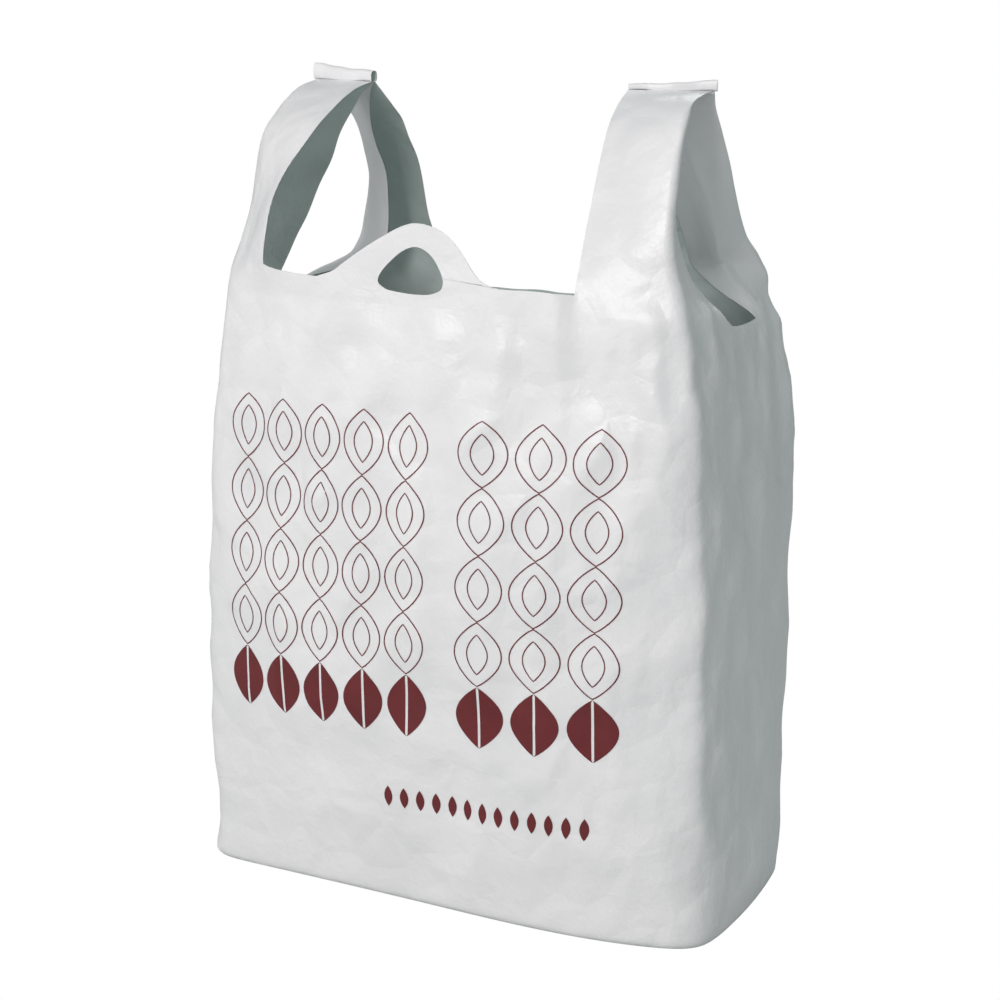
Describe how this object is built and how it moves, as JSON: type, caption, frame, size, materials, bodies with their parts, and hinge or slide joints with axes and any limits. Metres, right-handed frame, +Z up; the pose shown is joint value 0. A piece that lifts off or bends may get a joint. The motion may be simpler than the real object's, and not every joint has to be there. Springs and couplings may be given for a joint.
{
  "type": "plastic carrier bag",
  "caption": "Open thin-film carrier bag with side gussets, two loop handles and hanging tabs, which stands on its folded base and folds flat.",
  "frame": {"origin": "centre of the base, on the surface the bag stands on", "axes": "+X across the printed face, +Y from the printed face to the back, +Z up"},
  "size_m": [0.2658, 0.1707, 0.39],
  "materials": {
    "film": "thin white film with a soft satin sheen",
    "ink": "thin dark red ink"
  },
  "bodies": {
    "front": {"front_panel": "film", "front_print_row_1": "ink", "front_print_row_2": "ink", "front_print_row_3": "ink", "front_print_row_4": "ink", "front_print_row_5": "ink", "front_print_small_row": "ink"},
    "back": {"back_panel": "film"},
    "right_gusset_front": {"right_front_gusset_leaf": "film"},
    "right_gusset_rear": {"right_rear_gusset_leaf": "film"},
    "left_gusset_front": {"left_front_gusset_leaf": "film"},
    "left_gusset_rear": {"left_rear_gusset_leaf": "film"},
    "base_front": {"base_front_flap": "film", "bottom_seal": "film", "right_seal_ear": "film", "left_seal_ear": "film", "right_front_base_corner": "film", "left_front_base_corner": "film"},
    "base_rear": {"base_rear_flap": "film", "right_rear_base_corner": "film", "left_rear_base_corner": "film"},
    "front_tab_flap": {"front_tab": "film"},
    "rear_tab_flap": {"rear_tab": "film"},
    "right_front_foot": {"right_front_strap_root": "film"},
    "right_front_handle": {"right_front_strap": "film", "right_front_gusset_strip": "film", "right_top_seal": "film"},
    "right_rear_foot": {"right_rear_strap_root": "film"},
    "right_rear_handle": {"right_rear_strap": "film", "right_rear_gusset_strip": "film"},
    "left_front_foot": {"left_front_strap_root": "film"},
    "left_front_handle": {"left_front_strap": "film", "left_front_gusset_strip": "film", "left_top_seal": "film"},
    "left_rear_foot": {"left_rear_strap_root": "film"},
    "left_rear_handle": {"left_rear_strap": "film", "left_rear_gusset_strip": "film"}
  },
  "joints": [
    {"name": "fold_flat", "type": "hinge", "parent": "front", "child": "right_gusset_front", "pos_m": [0.133, -0.059, 0], "axis": [-0.0524, 0, 0.9986], "range_deg": [0, 80]},
    {"name": "right_centre_fold", "type": "hinge", "parent": "right_gusset_front", "child": "right_gusset_rear", "pos_m": [0.133, 0, 0], "axis": [-0.0524, 0, 0.9986], "range_deg": [-160, 0]},
    {"name": "right_rear_fold", "type": "hinge", "parent": "right_gusset_rear", "child": "back", "pos_m": [0.133, 0.059, 0], "axis": [-0.0524, 0, 0.9986], "range_deg": [0, 80]},
    {"name": "left_front_fold", "type": "hinge", "parent": "front", "child": "left_gusset_front", "pos_m": [-0.133, -0.059, 0], "axis": [0.0524, 0, 0.9986], "range_deg": [-80, 0]},
    {"name": "left_centre_fold", "type": "hinge", "parent": "left_gusset_front", "child": "left_gusset_rear", "pos_m": [-0.133, 0, 0], "axis": [0.0524, 0, 0.9986], "range_deg": [0, 160]},
    {"name": "base_front_fold", "type": "hinge", "parent": "front", "child": "base_front", "pos_m": [0, -0.059, 0.0011], "axis": [1, 0, 0], "range_deg": [0, 86], "deforming": ["right_seal_ear", "left_seal_ear", "right_front_base_corner", "left_front_base_corner"]},
    {"name": "base_rear_fold", "type": "hinge", "parent": "back", "child": "base_rear", "pos_m": [0, 0.059, 0.0011], "axis": [1, 0, 0], "range_deg": [-86, 0], "deforming": ["right_rear_base_corner", "left_rear_base_corner"]},
    {"name": "right_handle_swing", "type": "hinge", "parent": "front", "child": "right_front_foot", "pos_m": [0.088, -0.06, 0.289], "axis": [0, 1, 0], "range_deg": [-38, 25]},
    {"name": "right_rear_swing", "type": "hinge", "parent": "back", "child": "right_rear_foot", "pos_m": [0.088, 0.06, 0.289], "axis": [0, 1, 0], "range_deg": [-38, 25]},
    {"name": "right_front_strap_tilt", "type": "hinge", "parent": "right_front_foot", "child": "right_front_handle", "pos_m": [0.088, -0.06, 0.3], "axis": [1, 0, 0], "range_deg": [0, 29.4], "deforming": ["right_front_gusset_strip"]},
    {"name": "right_rear_strap_tilt", "type": "hinge", "parent": "right_rear_foot", "child": "right_rear_handle", "pos_m": [0.088, 0.06, 0.3], "axis": [1, 0, 0], "range_deg": [-29.4, 0], "deforming": ["right_rear_gusset_strip"]},
    {"name": "left_handle_swing", "type": "hinge", "parent": "front", "child": "left_front_foot", "pos_m": [-0.088, -0.06, 0.289], "axis": [0, -1, 0], "range_deg": [-38, 25]},
    {"name": "left_rear_swing", "type": "hinge", "parent": "back", "child": "left_rear_foot", "pos_m": [-0.088, 0.06, 0.289], "axis": [0, -1, 0], "range_deg": [-38, 25]},
    {"name": "left_front_strap_tilt", "type": "hinge", "parent": "left_front_foot", "child": "left_front_handle", "pos_m": [-0.088, -0.06, 0.3], "axis": [1, 0, 0], "range_deg": [0, 29.4], "deforming": ["left_front_gusset_strip"]},
    {"name": "left_rear_strap_tilt", "type": "hinge", "parent": "left_rear_foot", "child": "left_rear_handle", "pos_m": [-0.088, 0.06, 0.3], "axis": [1, 0, 0], "range_deg": [-29.4, 0], "deforming": ["left_rear_gusset_strip"]},
    {"name": "front_tab_bend", "type": "hinge", "parent": "front", "child": "front_tab_flap", "pos_m": [-0.008, -0.07155, 0.2925], "axis": [1, 0, 0], "range_deg": [-120, 120]},
    {"name": "rear_tab_bend", "type": "hinge", "parent": "back", "child": "rear_tab_flap", "pos_m": [-0.008, 0.0743, 0.2786], "axis": [1, 0, 0], "range_deg": [-10, 240]}
  ],
  "couplings": [
    {"joint": "right_centre_fold", "follows": "fold_flat", "ratio": -2},
    {"joint": "right_rear_fold", "follows": "fold_flat", "ratio": 1},
    {"joint": "left_front_fold", "follows": "fold_flat", "ratio": -1},
    {"joint": "left_centre_fold", "follows": "fold_flat", "ratio": 2},
    {"joint": "base_front_fold", "follows": "fold_flat", "ratio": 1.075},
    {"joint": "base_rear_fold", "follows": "fold_flat", "ratio": -1.075},
    {"joint": "right_rear_swing", "follows": "right_handle_swing", "ratio": 1},
    {"joint": "right_front_strap_tilt", "follows": "fold_flat", "ratio": 0.3675},
    {"joint": "right_rear_strap_tilt", "follows": "fold_flat", "ratio": -0.3675},
    {"joint": "left_rear_swing", "follows": "left_handle_swing", "ratio": 1},
    {"joint": "left_front_strap_tilt", "follows": "fold_flat", "ratio": 0.3675},
    {"joint": "left_rear_strap_tilt", "follows": "fold_flat", "ratio": -0.3675}
  ]
}
